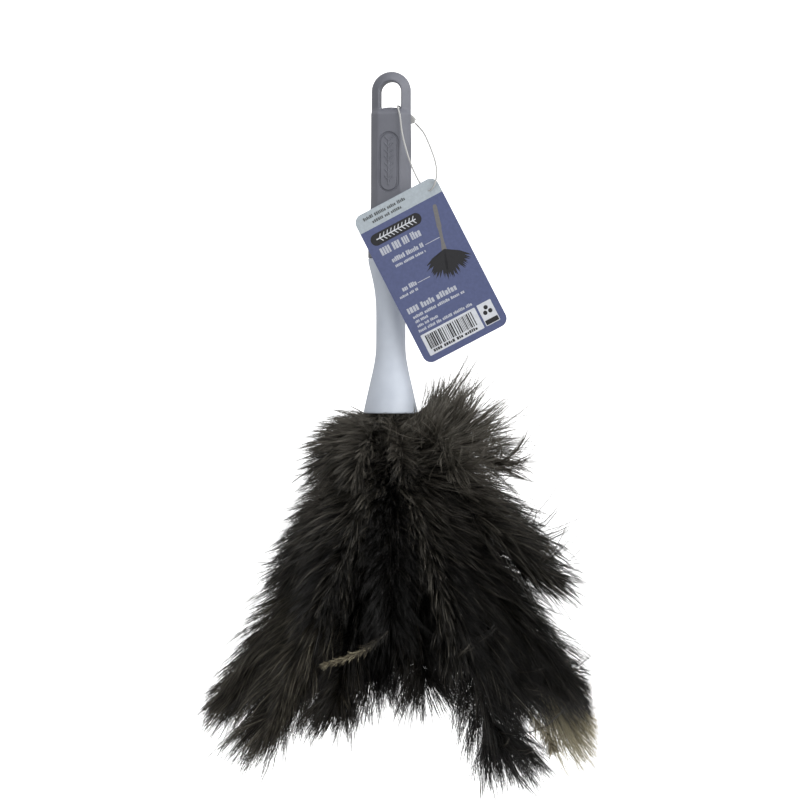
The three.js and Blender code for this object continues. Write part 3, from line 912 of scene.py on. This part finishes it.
def clear_of_sleeve(paths):
    """Which barbs stay off the sleeve: none of their points rises past its mouth close beside it."""
    near = np.abs(paths[:, :, 0]) < MOUTH_RADIUS + 4
    return ~((paths[:, :, 2] > MOUTH_Z + 0.2) & near).any(1)


def grow_locks(pairs, rng):
    """Locks of barbs in pairs, one on each side: where along the shaft each grows, and how it stands out."""
    count = 2 * pairs
    share = (np.repeat(np.arange(pairs), 2) + rng.random(count)) / pairs
    share = share**0.75  # denser towards the tip
    down = rng.random(count) < 0.09  # short locks round the mouth
    return {
        "share": np.where(down, 0.05 * share, share),
        "down": down,
        "side": np.tile([-1.0, 1.0], pairs),
        "sweep": rng.normal(0, 0.2, count),
        "lift": rng.normal(0, 0.4, count),
        "long": rng.normal(1, 0.16, count),
        # random tone for each lock, with about one lock in eight lightened as a painted highlight
        "tone": rng.normal(0, 0.13, count) + 0.3 * (rng.random(count) < 0.12),
        "drift": rng.normal(0, 0.2, (count, 3)),
        "crown": rng.random(count) < 0.13,  # locks that grow from the very tip
        "fan": rng.uniform(0.5, 1.57, count),
        "rise": rng.uniform(-0.7, 1.1, count),  # how much of the wind a lock at the tip takes
    }


def bend_barbs(roots, start, lie, hang, length):
    """Barbs that leave the shaft one way, start, and bend over to another, lie, while their tips hang."""
    u = np.linspace(0, 1, BARB_STEPS + 1)
    bending = (1 - (1 - u) ** 1.25)[None, :, None]
    weight = hang[:, None] * (u**2)[None]
    heading = unit(mix(start[:, None], lie[:, None], bending) - UP * weight[:, :, None])
    steps = (heading[:, 1:] + heading[:, :-1]) / 2 * (length / BARB_STEPS)[:, None, None]
    return roots[:, None] + np.concatenate([np.zeros((len(roots), 1, 3)), np.cumsum(steps, 1)], 1)


def draw_together(paths, pull):
    """Each barb pulled towards the middle of its lock, and most at its tip."""
    u = np.linspace(0, 1, BARB_STEPS + 1)
    hearts = paths.reshape(-1, LOCK_SIZE, BARB_STEPS + 1, 3).mean(1)
    return mix(paths, np.repeat(hearts, LOCK_SIZE, 0), pull[:, None, None] * (u**1.2)[None, :, None])


def grow_barbs(shaft, tier, rng, extra):
    """The barbs' paths, how thick and how light each is, and how far it has faded. They grow in locks."""
    growing = shaft["end"] - shaft["bare"]
    pairs = int(growing / tier["spacing"] / LOCK_SIZE * extra.get("dense", 1)) + 1
    lock = {key: np.repeat(value, LOCK_SIZE, 0) for key, value in grow_locks(pairs, rng).items()}
    n = len(lock["share"])
    # where each barb grows, and the way it lies there
    s = shaft["bare"] + growing * lock["share"] + rng.normal(0, tier["spacing"] * LOCK_SIZE * 0.8, n)
    s = np.clip(s, shaft["bare"], shaft["end"])
    share = (s - shaft["bare"]) / growing
    rise = mix(1, lock["rise"], smooth(share, 0.35, 0.85))
    droop = extra.get("droop", 0) * smooth(share, 0.3, 0.8)
    lie, windblown_and_lit, loose = flow(sample(shaft, s)["path"], droop, rise)
    # the way it leaves the shaft
    stray = rng.random(n) < 0.05 + 0.12 * windblown_and_lit
    jitter = np.where(stray, 3.0, 1.0)
    sweep = np.radians(mix(20, 48, share**1.6)) + lock["sweep"] + rng.normal(0, 0.08, n) * jitter
    sweep = np.where(lock["crown"], lock["fan"] + rng.normal(0, 0.06, n), sweep)
    s, share = np.where(lock["crown"], shaft["end"], s), np.where(lock["crown"], 1.0, share)
    at = sample(shaft, s)
    lift = tier["lift"] + extra.get("lift", 0) + lock["lift"] + rng.normal(0, 0.12, n) * jitter
    sideways = at["side"] * lock["side"][:, None]
    start = sideways * np.cos(sweep)[:, None] + at["ahead"] * np.sin(sweep)[:, None]
    start = unit(start + at["out"] * lift[:, None] + lock["drift"] * 0.5)
    # how long it is
    frontal = smooth(-unit(at["path"] * [1, 1, 0])[:, 1], 0.6, 1) * smooth(MOUTH_Z - at["path"][:, 2], 60, 30)
    profile = mix(0.6, 1, smooth(share, 0, 0.2)) * (1 - 0.35 * frontal) * np.where(lock["down"], 0.4, 1)
    length = tier["barb"] * extra.get("barb", 1) * profile * lock["long"] * rng.normal(1, 0.09, n)
    length *= np.where(stray, 1.15 + 0.35 * windblown_and_lit, 1) * (1 + 0.3 * windblown_and_lit * rng.random(n))
    # its path
    lie = mix(lie, at["ahead"], ((0.1 + 0.45 * share**2) * (1 - windblown_and_lit))[:, None])
    lie = unit(lie + sideways * 0.3 + lock["drift"] * (0.8 + 0.8 * windblown_and_lit[:, None]))
    paths = bend_barbs(at["path"], start, lie, 0.22 * (1 - windblown_and_lit) + 1.2 * lock["down"], length)
    pull = np.where(stray, 0.1, mix(extra.get("drawn", 0.55), 0.86, loose))
    paths = trimmed(draw_together(paths, pull))
    # how light it is, with painted shade, painted light and painted highlights in that, how faded and how
    # thick it is
    tone = tones(at["path"]) + tier["tone"] + extra.get("tone", 0)
    # painted light: one side of some plumes lightened
    tone += extra.get("painted_light_side", 0) * (lock["side"] < 0) + lock["tone"]
    # painted highlights: about one barb in five lightened, and made thicker, as a glinting strand
    painted_highlight = rng.random(n) < 0.19
    # painted light: barbs on the windblown right side near the mouth lightened, where the key light falls
    tone = np.clip(tone + (rng.normal(-0.09, 0.13, n) + 0.5 * painted_highlight + 0.32 * windblown_and_lit), 0, 1)
    pale_from = extra.get("pale_from", 0.75)
    pale = extra.get("pale", 0) * smooth(share + rng.normal(0, 0.04, n), pale_from, pale_from + 0.12)
    pale = np.clip(pale * rng.uniform(0.7, 1.1, n), 0, 1)
    tone = np.clip(tone + pale * extra.get("glow", 0), 0, 1)
    girth = BARB_GIRTH * rng.uniform(0.7, 1.1, n) * (1 + 0.85 * painted_highlight)
    kept = np.repeat(rng.random(2 * pairs), LOCK_SIZE) > extra.get("bare", 0.4 * windblown_and_lit)
    kept &= clear_of_sleeve(paths)
    return paths[kept], girth[kept], tone[kept], pale[kept]


def barb_mesh(name, paths, girth, tone, pale, line, stem=0.75):
    """One mesh of tapering three-sided barbs, each ending in a point, with the shaft among them."""
    n, rings = paths.shape[0], paths.shape[1] - 1
    ahead = unit(paths[:, -1] - paths[:, 0])
    side = unit(np.cross(ahead, [0.31, 0.62, 0.72]))
    over = np.cross(side, ahead)
    taper = np.interp(np.linspace(0, 1, rings + 1), [0, 0.15, 0.7, 1], [0.8, 1.0, 0.8, 0.3])[:rings]
    corners = []
    for k in range(3):
        a = 2 * pi * k / 3
        offset = side * cos(a) + over * (0.6 * sin(a))
        corners.append(paths[:, :rings] + offset[:, None] * (girth[:, None] * taper)[:, :, None])
    body = np.stack(corners, 2).reshape(n, rings * 3, 3)
    block = rings * 3 + 1
    points = np.concatenate([body, paths[:, -1:]], 1).reshape(-1, 3)
    base = (np.arange(n) * block)[:, None]
    ring = base + (np.arange(rings - 1) * 3)[None]
    sides = ((0, 1), (1, 2), (2, 0))
    quads = [np.stack([ring + k, ring + j, ring + 3 + j, ring + 3 + k], -1) for k, j in sides]
    quads = np.concatenate(quads).reshape(-1, 4)
    last = base + (rings - 1) * 3
    tris = [np.concatenate([last + k, last + (k + 1) % 3, base + rings * 3], 1) for k in range(3)]
    tris = np.concatenate(tris + [base + np.array([2, 1, 0])])
    core_points, core_faces = tube(line, np.linspace(stem, 0.2, len(line)), 8)
    core_quads = np.array([f for f in core_faces if len(f) == 4]) + len(points)
    points = np.concatenate([points, core_points])
    quads = np.concatenate([quads, core_quads])
    loops = np.concatenate([quads.ravel(), tris.ravel()]).astype(np.int32)
    sizes = np.concatenate([np.full(len(quads), 4), np.full(len(tris), 3)])
    starts = np.concatenate([[0], np.cumsum(sizes)[:-1]]).astype(np.int32)
    mesh = bpy.data.meshes.new(name)
    mesh.vertices.add(len(points))
    mesh.vertices.foreach_set("co", (points * MM).astype(np.float32).ravel())
    mesh.loops.add(len(loops))
    mesh.loops.foreach_set("vertex_index", loops)
    mesh.polygons.add(len(starts))
    mesh.polygons.foreach_set("loop_start", starts)
    mesh.update(calc_edges=True)
    mesh.validate()
    rise = np.concatenate([np.repeat(np.linspace(-0.1, 0.08, rings), 3), [0.1]])
    light = (tone[:, None] + rise[None]).ravel()
    light = np.concatenate([light, np.full(len(core_points), 0.28)])
    fade = np.concatenate([np.repeat(pale, block), np.full(len(core_points), 0.2)])
    for key, values in (("tone", np.clip(light, 0, 1)), ("pale", fade)):
        mesh.attributes.new(key, "FLOAT", "POINT").data.foreach_set("value", values.astype(np.float32))
    mesh.shade_smooth()
    mesh.materials.append(FEATHER)
    return new_object(name, mesh)


# What sets single plumes apart from their tier. barb scales its barbs' length and dense their number. lift
# and tone add to the tier's, and painted_light_side lightens one side as painted light. droop steepens barbs
# near the tip, in degrees.
# drawn is how far a lock's barbs draw together at their tips, and bare the share of locks left out. pale is
# how far the end has faded, pale_from where along the shaft that starts, and glow how much it lightens.
SPECIAL = {
    "top_3": dict(barb=0.8),
    "top_4": dict(lift=0.1, barb=1.05),
    "top_5": dict(lift=0.4, barb=1.15, tone=0.08, bare=0.35),
    "top_6": dict(lift=0.7, barb=1.4, tone=0.1, bare=0.6),
    "upper_1": dict(barb=0.85),
    "upper_3": dict(barb=0.85),
    "upper_4": dict(tone=0.05, painted_light_side=0.5, barb=0.85),
    "upper_5": dict(barb=1.15, lift=0.35),
    "upper_6": dict(barb=1.1, droop=12, lift=-0.1, tone=-0.05, drawn=0.4, dense=1.3),
    "long_1": dict(barb=0.85, lift=-0.25, droop=-4, drawn=0.42, tone=0.03, pale=0.12, pale_from=0.5),
    "long_2": dict(barb=0.95, drawn=0.42, tone=0.03, pale=0.15, pale_from=0.5),
    "long_3": dict(barb=0.75, drawn=0.3, pale=0.2, pale_from=0.8),
    "long_4": dict(barb=0.8, drawn=0.4, tone=-0.05, pale=0.12, pale_from=0.7),
    "long_5": dict(barb=0.95, drawn=0.28, droop=14, tone=-0.12, dense=1.3),
    "long_6": dict(tone=-0.08, barb=0.98, drawn=0.35, droop=5),
    "long_7": dict(droop=-12, pale=1.0, pale_from=0.84, barb=1.08, glow=1.3),
    "long_10": dict(barb=0.8),
    "core_2": dict(drawn=0.2, barb=1.15, tone=0.05),
    "core_3": dict(drawn=0.2, barb=1.15, tone=0.05),
    "core_4": dict(barb=1.2, lift=0.4, drawn=0.2, dense=1.5),
    "core_5": dict(barb=1.3, lift=0.6, droop=-15, drawn=0.25, dense=1.4),
    "core_6": dict(drawn=0.2, barb=1.15),
    "core_7": dict(drawn=0.2, barb=1.15),
}


def make_plume(name, index):
    short_name = name.removeprefix("plume_")
    tier = TIERS[short_name.split("_")[0]]
    rng = np.random.default_rng(100 + index)
    shaft = plume_shaft(name, tier)
    extra = SPECIAL.get(short_name, {})
    paths, girth, tone, pale = grow_barbs(shaft, tier, rng, extra)
    line = shaft["path"][shaft["along"] <= shaft["end"]]
    piece = barb_mesh("feather_" + short_name, paths, girth, tone, pale, line)
    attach(piece, "duster")
    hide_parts(name)


def make_loose_end(name, curve, count, length, spread, dark, gather, seed):
    """The pale end of a feather among the dark ones: short barbs folded along a bent shaft."""
    rng = np.random.default_rng(seed)
    t = np.linspace(0, 1, 40)[:, None]
    a, b, c = np.array(curve, float)
    path = (1 - t) ** 2 * a + 2 * (1 - t) * t * b + t**2 * c
    ahead = unit(np.gradient(path, axis=0))
    share = rng.random(count) ** gather  # a small one draws the barbs to the end
    i = (share * 39).astype(int)
    side = unit(np.cross(ahead[i], [0.0, -1.0, 0.0])) * rng.choice([-1.0, 1.0], count)[:, None]
    way = unit(ahead[i] + side * rng.uniform(0.05, spread, count)[:, None] + rng.normal(0, 0.16, (count, 3)))
    length = length * mix(1, 0.6, share) * rng.uniform(0.5, 1.2, count)
    u = np.linspace(0, 1, BARB_STEPS + 1)
    curl = unit(rng.normal(0, 1, (count, 3)) - UP)[:, None] * (0.3 * u**2)[None, :, None]
    paths = path[i][:, None] + (way[:, None] * u[None, :, None] + curl) * length[:, None, None]
    paths += rng.normal(0, 0.35, (count, 1, 3))
    lit = smooth(share, 0.1, 0.6)
    tone = np.clip(mix(dark, 0.62, lit) + rng.normal(0, 0.28, count), 0, 1)
    fade = np.clip(mix(0.1, 1, lit) * rng.uniform(0.5, 1.1, count), 0, 1)
    girth = BARB_GIRTH * rng.uniform(0.8, 1.5, count)
    piece = barb_mesh(name, paths, girth, tone, fade, path, 0.3)
    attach(piece, "duster")


def make_plumes():
    across_front = [(9, -62, -296), (-3, -73, -309), (-26, -66, -314)]
    make_loose_end("feather_streak", across_front, 300, 5.5, 0.9, 0.1, 0.8, 7)
    beside_leg = [(72, -36, -330), (90, -46, -346), (95, -50, -358)]
    make_loose_end("feather_tuft", beside_leg, 360, 8, 1.3, 0.3, 0.3, 8)
    names = sorted(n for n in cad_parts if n.startswith("plume_"))
    for index, name in enumerate(names):
        make_plume(name, index)


# ---- studio
def make_backdrop():
    """A pale floor, and a pale wall that curves up from it all round, well clear of every camera."""
    material = new_material("backdrop", Base_Color=(0.93, 0.93, 0.93, 1), Roughness=0.9)
    tint(material, noise(material, 2, 2), (0.3, (0.92, 0.92, 0.92)), (0.7, (0.94, 0.94, 0.94)))
    shader = material.node_tree.nodes["Principled BSDF"]
    shader.inputs["Emission Color"].default_value = (1, 1, 1, 1)
    shader.inputs["Emission Strength"].default_value = 1.0
    floor_z, wall, wall_top, bend, sides = -460, 5000, 6000, 1500, 64
    curve = []
    for a in np.linspace(0, pi / 2, 14):
        curve.append((wall - bend * (1 - sin(a)), floor_z + bend * (1 - cos(a))))
    profiles = {"floor": [(1, floor_z), (wall - bend, floor_z)], "wall": [*curve, (wall, wall_top)]}
    for name, profile in profiles.items():
        points = np.concatenate([level_ring(r, full_turn(sides), z) for r, z in profile])
        piece = mesh_object(name, points, grid_faces(len(profile), sides), [material], 60)
        piece.visible_diffuse = piece.visible_glossy = piece.visible_transmission = False
        piece.visible_shadow = name == "floor"  # the wall lets the studio's light through


def add_light(name, azimuth, elevation, distance, size, power, aim_z=-180):
    way = direction(VIEW_AZIMUTH + azimuth, elevation)
    data = bpy.data.lights.new(name, "AREA")
    data.shape, data.size, data.energy = "DISK", size, power
    light = new_object(name, data)
    light.location = way * distance + Vector((0, 0, aim_z * MM))
    light.rotation_euler = way.to_track_quat("Z", "Y").to_euler()


def make_lights():
    add_light("key", 56, 26, 1.5, 1.7, 20)
    add_light("fill", -30, 16, 1.6, 1.4, 3)
    add_light("top", 10, 75, 1.4, 0.8, 3)
    world = bpy.data.worlds.new("studio")
    world.use_nodes = True
    background = world.node_tree.nodes["Background"]
    background.inputs["Color"].default_value = (1, 1, 1, 1)
    background.inputs["Strength"].default_value = 0.61
    bpy.context.scene.world = world
    bpy.context.scene.view_settings.view_transform = "Standard"


make_camera()
make_string()
make_grip()
make_sleeve()
dress_inner_parts()
make_tag()
make_plumes()
make_backdrop()
make_lights()
